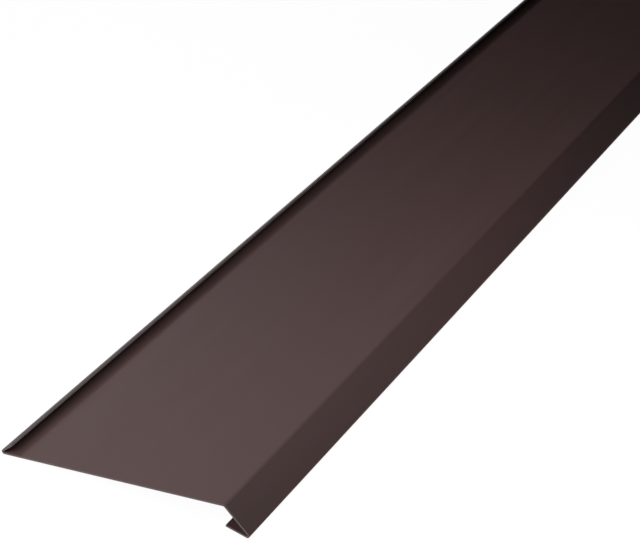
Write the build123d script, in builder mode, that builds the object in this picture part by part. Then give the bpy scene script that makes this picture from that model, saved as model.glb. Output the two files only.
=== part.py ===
from build123d import *
from math import asin, atan2, degrees, radians, sin, tan
import os

# Drip edge: one strip of coated sheet, folded along its length. Millimetres, +Y along the strip, +Z up.
# Across the strip, from the back (-X) to the front (+X), run an open hem, a wide deck,
# a face that drops forward, a sharp drip nose and a lip that returns behind the face.

# Stock
length = 2000.0
sheet = 1.2

# Widths of the four faces, to the outside of the hem's fold and of the nose's fold
deck_width = 150.0
face_width = 22.5
lip_width = 15.0
hem_width = 10.0

# Angles of the folds in degrees
face_drop = 51.0
nose_opening = 32.0
hem_opening = 34.0

# Inside radii of the folds
face_bend = 2.5
nose_fold = 0.4
hem_fold = 0.5

# Outside radii follow from the sheet
face_bend_outside = face_bend + sheet
nose_outside = nose_fold + sheet
hem_outside = hem_fold + sheet

# The weather side in the deck's own plane: X across the deck, Y square to it.
# Tight folds are drawn by their sharp corners, which lie beyond the rounded fold.
face_direction = Vector(1, 0).rotate(Axis.Z, -face_drop)
lip_direction = (-face_direction).rotate(Axis.Z, nose_opening)
hem_direction = Vector(1, 0).rotate(Axis.Z, hem_opening)

hem_tangent = hem_fold / tan(radians(hem_opening / 2))
nose_tangent = nose_outside / tan(radians(nose_opening / 2))

hem_corner = Vector(hem_outside - hem_tangent, 0)
hem_edge = hem_corner + hem_direction * (hem_tangent + hem_width - hem_outside)
face_corner = Vector(deck_width, 0)
nose_corner = face_corner + face_direction * (face_width - nose_outside + nose_tangent)
lip_edge = nose_corner + lip_direction * (nose_tangent + lip_width - nose_outside)

# Laid down, the strip rests on the outside of the hem's fold and of the nose.
# The slope of the deck is that of the line that touches both folds from below.
hem_centre = Vector(hem_outside, hem_fold)
nose_bisector = (-face_direction).rotate(Axis.Z, nose_opening / 2)
nose_centre = nose_corner + nose_bisector * (nose_outside / sin(radians(nose_opening / 2)))
span = nose_centre - hem_centre
deck_slope = degrees(asin((nose_outside - hem_outside) / span.length) - atan2(span.Y, span.X))

hem_rest = hem_centre.rotate(Axis.Z, deck_slope)
nose_rest = nose_centre.rotate(Axis.Z, deck_slope)
middle = (hem_rest.X - hem_outside + nose_rest.X + nose_outside) / 2
floor = hem_rest.Y - hem_outside

# The section's plane stands square to the length, at mid-length, with the deck's slope
section = Plane(
    origin=(-middle, 0, -floor),
    x_dir=Vector(1, 0, 0).rotate(Axis.Y, -deck_slope),
    z_dir=(0, -1, 0),
)

os.makedirs("parts", exist_ok=True)

with BuildPart() as drip_edge:
    with BuildSketch(section):
        with BuildLine():
            FilletPolyline(
                hem_edge,
                hem_corner,
                face_corner,
                nose_corner,
                lip_edge,
                radius=(hem_fold, face_bend_outside, nose_outside),
            )
            offset(amount=sheet, side=Side.RIGHT)
        make_face()
    extrude(amount=length / 2, both=True)

drip_edge.part.label = "drip_edge"
export_step(drip_edge.part, "parts/drip_edge.step")
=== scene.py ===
import bpy
import math
from mathutils import Matrix, Vector


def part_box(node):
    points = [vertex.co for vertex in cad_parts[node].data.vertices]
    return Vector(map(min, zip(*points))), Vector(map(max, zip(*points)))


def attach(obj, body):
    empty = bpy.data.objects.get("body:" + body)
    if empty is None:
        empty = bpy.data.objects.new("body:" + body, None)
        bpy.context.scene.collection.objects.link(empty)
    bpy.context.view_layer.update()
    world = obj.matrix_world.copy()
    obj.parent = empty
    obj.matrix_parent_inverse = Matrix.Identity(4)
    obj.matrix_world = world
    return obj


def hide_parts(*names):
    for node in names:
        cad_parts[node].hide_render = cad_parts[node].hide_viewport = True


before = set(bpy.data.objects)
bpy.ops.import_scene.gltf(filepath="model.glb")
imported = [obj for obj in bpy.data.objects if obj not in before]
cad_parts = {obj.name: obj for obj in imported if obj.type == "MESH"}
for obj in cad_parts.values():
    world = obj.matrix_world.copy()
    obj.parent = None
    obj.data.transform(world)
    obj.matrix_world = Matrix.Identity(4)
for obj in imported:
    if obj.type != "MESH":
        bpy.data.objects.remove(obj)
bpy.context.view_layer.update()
mm = 0.001

# a Mix node's colour sockets share their names, so they go by number
mixFactor, mixFirst, mixSecond, mixResult = 0, 6, 7, 2


def toLinear(hexColour):
    channels = [int(hexColour[i:i + 2], 16) / 255 for i in (1, 3, 5)]
    return [c / 12.92 if c <= 0.04045 else ((c + 0.055) / 1.055) ** 2.4 for c in channels] + [1.0]


def addNode(tree, kind, settings=None, values=None, links=None):
    node = tree.nodes.new(kind)
    for name, value in (settings or {}).items():
        setattr(node, name, value)
    for socket, value in (values or {}).items():
        node.inputs[socket].default_value = value
    for socket, source in (links or {}).items():
        tree.links.new(source, node.inputs[socket])
    return node


def newMaterial(name):
    material = bpy.data.materials.new(name)
    material.use_nodes = True
    tree = material.node_tree
    tree.nodes.clear()
    return material, tree


# Matt brown polyester coil coating: rolled on and stoved, so it is even, with a soft sheen,
# faint roller streaks along the strip and a fine pebble
brownCoating = {
    "colour": "#392928",
    "paleColour": "#3d2c2b",  # where the film is thinner
    "roughness": 0.57,
    "dullRoughness": 0.63,
    "ior": 1.5,
    "gloss": 0.22,  # matting agents take most of the shine
    "streakWidth": 9 * mm,
    "streakLength": 160 * mm,
    "streakDetail": 3.0,
    "streakSpread": (0.3, 0.7),  # most of the noise lies between these
    "pebbleSize": 1.6 * mm,  # orange peel of a stoved coat
    "pebbleDepth": 0.004 * mm,
    "pebbleDetail": 2.0,
}


def makeBrownCoating(look):
    material, tree = newMaterial("brown_polyester_coil_coating")
    place = addNode(tree, "ShaderNodeTexCoord")
    across, along = 1 / look["streakWidth"], 1 / look["streakLength"]
    rolled = addNode(tree, "ShaderNodeMapping", values={"Scale": (across, along, across)},
                     links={"Vector": place.outputs["Object"]})
    streak = addNode(tree, "ShaderNodeTexNoise", values={"Scale": 1.0, "Detail": look["streakDetail"]},
                     links={"Vector": rolled.outputs["Vector"]})
    tone = addNode(tree, "ShaderNodeMix", {"data_type": "RGBA"},
                   {mixFirst: toLinear(look["colour"]), mixSecond: toLinear(look["paleColour"])},
                   {mixFactor: streak.outputs["Fac"]})
    faint, strong = look["streakSpread"]
    sheen = addNode(tree, "ShaderNodeMapRange",
                    values={"From Min": faint, "From Max": strong,
                            "To Min": look["roughness"], "To Max": look["dullRoughness"]},
                    links={"Value": streak.outputs["Fac"]})
    pebble = addNode(tree, "ShaderNodeTexNoise",
                     values={"Scale": 1 / look["pebbleSize"], "Detail": look["pebbleDetail"]},
                     links={"Vector": place.outputs["Object"]})
    bump = addNode(tree, "ShaderNodeBump", values={"Strength": 1.0, "Distance": look["pebbleDepth"]},
                   links={"Height": pebble.outputs["Fac"]})
    skin = addNode(tree, "ShaderNodeBsdfPrincipled",
                   values={"IOR": look["ior"], "Specular IOR Level": look["gloss"]},
                   links={"Base Color": tone.outputs[mixResult], "Roughness": sheen.outputs["Result"],
                          "Normal": bump.outputs["Normal"]})
    addNode(tree, "ShaderNodeOutputMaterial", links={"Surface": skin.outputs["BSDF"]})
    return material


# Sheared edge of galvanised steel: a dull grey-brown line between two films of paint, scored by the blade
cutEdge = {
    "colour": "#3f3635",
    "brightColour": "#4e4442",
    "roughness": 0.5,
    "metallic": 0.2,
    "scoreSize": 0.8 * mm,
    "scoreDetail": 2.0,
}


def makeCutEdge(look):
    material, tree = newMaterial("sheared_galvanised_edge")
    place = addNode(tree, "ShaderNodeTexCoord")
    score = addNode(tree, "ShaderNodeTexNoise",
                    values={"Scale": 1 / look["scoreSize"], "Detail": look["scoreDetail"]},
                    links={"Vector": place.outputs["Object"]})
    tone = addNode(tree, "ShaderNodeMix", {"data_type": "RGBA"},
                   {mixFirst: toLinear(look["colour"]), mixSecond: toLinear(look["brightColour"])},
                   {mixFactor: score.outputs["Fac"]})
    skin = addNode(tree, "ShaderNodeBsdfPrincipled",
                   values={"Roughness": look["roughness"], "Metallic": look["metallic"]},
                   links={"Base Color": tone.outputs[mixResult]})
    addNode(tree, "ShaderNodeOutputMaterial", links={"Surface": skin.outputs["BSDF"]})
    return material


coatingMaterial = makeBrownCoating(brownCoating)
edgeMaterial = makeCutEdge(cutEdge)
print("materials made")

# The folded strip, in millimetres and degrees: the sizes of the CAD,
# but for a crisper line at the face's bend
strip = {
    "sheet": 1.2,
    "deckWidth": 150.0,
    "faceWidth": 22.5,
    "lipWidth": 15.0,
    "hemWidth": 10.0,
    "faceDrop": 51.0,
    "noseOpening": 32.0,
    "hemOpening": 34.0,
    "faceBend": 1.4,  # 2.5 in the CAD, so the surface is 0.12 mm away at the most
    "noseFold": 0.4,
    "hemFold": 0.5,
    "foldSteps": 14,
    "lengthSteps": 41,
    "weld": 0.01,
    "crispAngle": 60.0,  # edges sharper than this stay crisp
}


def turned(vector, degrees):
    # turns a vector of the section, which lies in the XZ plane
    return Matrix.Rotation(math.radians(-degrees), 3, "Y") @ vector


def foldLine(s):
    # corners of the weather side with their fold radii, laid down as the CAD node lies
    hemOutside, noseOutside = s["hemFold"] + s["sheet"], s["noseFold"] + s["sheet"]
    hemHalf, noseHalf = math.radians(s["hemOpening"] / 2), math.radians(s["noseOpening"] / 2)
    across = Vector((1, 0, 0))
    face = turned(across, -s["faceDrop"])
    lip = turned(-face, s["noseOpening"])
    noseMiddle = turned(-face, s["noseOpening"] / 2)
    hemRun = s["hemFold"] / math.tan(hemHalf)
    noseRun = noseOutside / math.tan(noseHalf)
    hemCorner = across * (hemOutside - hemRun)
    hemTip = hemCorner + turned(across, s["hemOpening"]) * (hemRun + s["hemWidth"] - hemOutside)
    faceCorner = across * s["deckWidth"]
    noseCorner = faceCorner + face * (s["faceWidth"] - noseOutside + noseRun)
    lipTip = noseCorner + lip * (noseRun + s["lipWidth"] - noseOutside)
    # it rests on the outside of the hem's fold and of the nose, which gives the deck its slope
    hemCentre = Vector((hemOutside, 0, s["hemFold"]))
    noseCentre = noseCorner + noseMiddle * (noseOutside / math.sin(noseHalf))
    span = noseCentre - hemCentre
    slope = math.degrees(math.asin((noseOutside - hemOutside) / span.length) - math.atan2(span.z, span.x))
    hemRest = turned(hemCentre, slope)
    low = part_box("drip_edge")[0]
    shift = Vector((low.x / mm + hemOutside - hemRest.x, 0, low.z / mm + hemOutside - hemRest.z))
    corners = [turned(p, slope) + shift for p in (hemTip, hemCorner, faceCorner, noseCorner, lipTip)]
    radii = (0, s["hemFold"], s["faceBend"] + s["sheet"], noseOutside, 0)
    return [p * mm for p in corners], [r * mm for r in radii]


def stripTree(s):
    tree = bpy.data.node_groups.new("folded strip", "GeometryNodeTree")
    inputs = {
        "Fold Line": "NodeSocketGeometry",
        "Start": "NodeSocketVector",
        "End": "NodeSocketVector",
        "Sheet": "NodeSocketFloat",
        "Fold Steps": "NodeSocketInt",
        "Length Steps": "NodeSocketInt",
        "Coating": "NodeSocketMaterial",
        "Cut Edge": "NodeSocketMaterial",
    }
    for name, kind in inputs.items():
        tree.interface.new_socket(name, in_out="INPUT", socket_type=kind)
    tree.interface.new_socket("Strip", in_out="OUTPUT", socket_type="NodeSocketGeometry")
    given = addNode(tree, "NodeGroupInput").outputs

    # the section: corners to a curve, each corner rounded by its own radius
    corners = addNode(tree, "GeometryNodeMeshToCurve", links={"Mesh": given["Fold Line"]})
    radius = addNode(tree, "GeometryNodeInputNamedAttribute", {"data_type": "FLOAT"}, {"Name": "foldRadius"})
    section = addNode(tree, "GeometryNodeFilletCurve", {"mode": "POLY"}, {"Limit Radius": True},
                      {"Curve": corners.outputs["Curve"], "Count": given["Fold Steps"],
                       "Radius": radius.outputs["Attribute"]})
    # the length: a straight run that carries the section
    run = addNode(tree, "GeometryNodeCurvePrimitiveLine",
                  links={"Start": given["Start"], "End": given["End"]})
    steps = addNode(tree, "GeometryNodeResampleCurve",
                    links={"Curve": run.outputs["Curve"], "Count": given["Length Steps"]})
    # a profile lies in XY, so the section is laid over by a quarter turn
    profile = addNode(tree, "GeometryNodeTransform", values={"Rotation": (math.radians(90), 0, 0)},
                      links={"Geometry": section.outputs["Curve"]})
    skin = addNode(tree, "GeometryNodeCurveToMesh",
                   links={"Curve": steps.outputs["Curve"], "Profile Curve": profile.outputs["Geometry"]})
    # the sheet's thickness: a second skin under the first, with the cut edges between them
    back = addNode(tree, "GeometryNodeFlipFaces", links={"Mesh": skin.outputs["Mesh"]})
    thick = addNode(tree, "GeometryNodeExtrudeMesh", {"mode": "FACES"}, {"Individual": False},
                    {"Mesh": back.outputs["Mesh"], "Offset Scale": given["Sheet"]})
    cut = addNode(tree, "GeometryNodeStoreNamedAttribute", {"data_type": "BOOLEAN", "domain": "FACE"},
                  {"Name": "cutEdge"}, {"Geometry": thick.outputs["Mesh"], "Value": thick.outputs["Side"]})
    both = addNode(tree, "GeometryNodeJoinGeometry")
    for part in (cut.outputs["Geometry"], skin.outputs["Mesh"]):
        tree.links.new(part, both.inputs["Geometry"])
    welded = addNode(tree, "GeometryNodeMergeByDistance", values={"Distance": s["weld"] * mm},
                     links={"Geometry": both.outputs["Geometry"]})
    # smooth folds, crisp cut edges
    angle = addNode(tree, "GeometryNodeInputMeshEdgeAngle")
    crisp = addNode(tree, "ShaderNodeMath", {"operation": "GREATER_THAN"}, {1: math.radians(s["crispAngle"])},
                    {0: angle.outputs["Unsigned Angle"]})
    smooth = addNode(tree, "GeometryNodeSetShadeSmooth", {"domain": "FACE"},
                     links={"Geometry": welded.outputs["Geometry"]})
    sharp = addNode(tree, "GeometryNodeSetShadeSmooth", {"domain": "EDGE"}, {"Shade Smooth": False},
                    {"Geometry": smooth.outputs["Geometry"], "Selection": crisp.outputs["Value"]})
    # paint on both skins, bare metal on the cut edges
    solid = addNode(tree, "GeometryNodeRealizeInstances", links={"Geometry": sharp.outputs["Geometry"]})
    coated = addNode(tree, "GeometryNodeSetMaterial",
                     links={"Geometry": solid.outputs["Geometry"], "Material": given["Coating"]})
    isCut = addNode(tree, "GeometryNodeInputNamedAttribute", {"data_type": "BOOLEAN"}, {"Name": "cutEdge"})
    edged = addNode(tree, "GeometryNodeSetMaterial",
                    links={"Geometry": coated.outputs["Geometry"], "Selection": isCut.outputs["Attribute"],
                           "Material": given["Cut Edge"]})
    addNode(tree, "NodeGroupOutput", links={"Strip": edged.outputs["Geometry"]})
    return tree


def makeStrip(s):
    corners, radii = foldLine(s)
    line = bpy.data.meshes.new("fold_line")
    line.from_pydata(corners, [(i, i + 1) for i in range(len(corners) - 1)], [])
    line.attributes.new("foldRadius", "FLOAT", "POINT").data.foreach_set("value", radii)
    piece = bpy.data.objects.new("folded_strip", line)
    bpy.context.scene.collection.objects.link(piece)
    tree = stripTree(s)
    modifier = piece.modifiers.new("folded strip", "NODES")
    modifier.node_group = tree
    low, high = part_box("drip_edge")
    sizes = {"Start": (0, low.y, 0), "End": (0, high.y, 0), "Sheet": s["sheet"] * mm,
             "Fold Steps": s["foldSteps"], "Length Steps": s["lengthSteps"],
             "Coating": coatingMaterial, "Cut Edge": edgeMaterial}
    for item in tree.interface.items_tree:
        if item.in_out == "INPUT" and item.name in sizes:
            modifier[item.identifier] = sizes[item.name]
    made = bpy.data.meshes.new_from_object(piece.evaluated_get(bpy.context.evaluated_depsgraph_get()))
    piece.modifiers.remove(modifier)
    piece.data = made
    made.name = "folded_strip"
    return piece


foldedStrip = makeStrip(strip)
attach(foldedStrip, "root")
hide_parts("drip_edge")
print("strip made:", len(foldedStrip.data.vertices), "vertices")

# Camera as in the photograph: on the nose's side of the near end, looking down by about 31 degrees
camera = {
    "place": (0.5275, -1.7376, 0.6789),
    "elevation": 30.645,
    "turn": 28.582,
    "lens": 113.09,
    "sensor": 36.0,
}


def makeCamera(c):
    data = bpy.data.cameras.new("camera")
    data.sensor_width = c["sensor"]
    data.lens = c["lens"]
    eye = bpy.data.objects.new("camera", data)
    eye.location = c["place"]
    eye.rotation_euler = (math.radians(90 - c["elevation"]), 0, math.radians(c["turn"]))
    bpy.context.scene.collection.objects.link(eye)
    bpy.context.scene.camera = eye


makeCamera(camera)
print("camera set")

# Studio: a pale floor, a dim room and soft boxes, most of them around the near half of the strip
studio = {
    "floorSize": 60.0,
    "floorColour": "#f4f4f4",
    "shadowShare": 0.035,  # how much of the floor's own shading the white ground keeps
    "groundColour": "#ffffff",
    "roomColour": "#ffffff",
    "roomStrength": 0.025,
    # place, aim, width and height in metres, watts
    "softBoxes": {
        "keyBox": ((-0.145, -1.40, 0.46), (0.0, -1.30, 0.0), 0.37, 0.35, 2.56),
        "frontBox": ((-0.145, -1.19, 0.25), (0.0, -0.90, 0.0), 0.42, 0.42, 1.68),
        "fillBox": ((0.185, -0.78, 0.36), (0.0, -0.88, 0.0), 0.315, 0.315, 1.40),
        "hazePanel": ((-0.34, -0.56, 0.36), (0.0, -0.86, 0.0), 0.325, 0.26, 0.42),
        "backBox": ((-0.62, -0.45, 0.50), (0.0, -0.40, 0.0), 0.40, 0.20, 2.28),
        "middleBox": ((0.0, 0.0, 0.35), (0.0, 0.50, 0.0), 0.30, 0.30, 1.9),
        "farBox": ((0.0, 0.55, 0.42), (0.0, 1.0, 0.0), 0.40, 0.40, 2.3),
    },
}


def makeFloorPaint(s):
    # white to the eye and in reflections, pale paint to all other light, with a share of its shadow kept
    material, tree = newMaterial("studio_floor")
    path = addNode(tree, "ShaderNodeLightPath")
    seen = path.outputs["Is Camera Ray"]
    for ray in ("Is Glossy Ray", "Is Transmission Ray"):
        either = addNode(tree, "ShaderNodeMath", {"operation": "MAXIMUM"},
                         links={0: seen, 1: path.outputs[ray]})
        seen = either.outputs["Value"]
    share = addNode(tree, "ShaderNodeMath", {"operation": "MULTIPLY"}, {1: 1 - s["shadowShare"]}, {0: seen})
    paint = addNode(tree, "ShaderNodeBsdfDiffuse", values={"Color": toLinear(s["floorColour"])})
    white = addNode(tree, "ShaderNodeEmission",
                    values={"Color": toLinear(s["groundColour"]), "Strength": 1.0})
    mix = addNode(tree, "ShaderNodeMixShader",
                  links={0: share.outputs["Value"], 1: paint.outputs["BSDF"], 2: white.outputs["Emission"]})
    addNode(tree, "ShaderNodeOutputMaterial", links={"Surface": mix.outputs["Shader"]})
    return material


def makeFloor(s):
    half = s["floorSize"] / 2
    corners = [(-half, -half, 0), (half, -half, 0), (half, half, 0), (-half, half, 0)]
    mesh = bpy.data.meshes.new("floor")
    mesh.from_pydata(corners, [], [(0, 1, 2, 3)])
    mesh.materials.append(makeFloorPaint(s))
    floor = bpy.data.objects.new("floor", mesh)
    bpy.context.scene.collection.objects.link(floor)


def makeRoom(s):
    world = bpy.data.worlds.new("studio")
    world.use_nodes = True
    ground = world.node_tree.nodes["Background"]
    ground.inputs["Color"].default_value = toLinear(s["roomColour"])
    ground.inputs["Strength"].default_value = s["roomStrength"]
    bpy.context.scene.world = world


def makeSoftBox(name, place, aim, width, height, watts):
    lamp = bpy.data.lights.new(name, "AREA")
    lamp.shape = "RECTANGLE"
    lamp.size = width
    lamp.size_y = height
    lamp.energy = watts
    box = bpy.data.objects.new(name, lamp)
    box.location = place
    box.rotation_euler = (Vector(aim) - Vector(place)).to_track_quat("-Z", "Y").to_euler()
    box.visible_camera = False
    bpy.context.scene.collection.objects.link(box)


bpy.context.scene.view_settings.view_transform = "Standard"
makeFloor(studio)
makeRoom(studio)
for boxName, softBox in studio["softBoxes"].items():
    makeSoftBox(boxName, *softBox)
print("studio made")
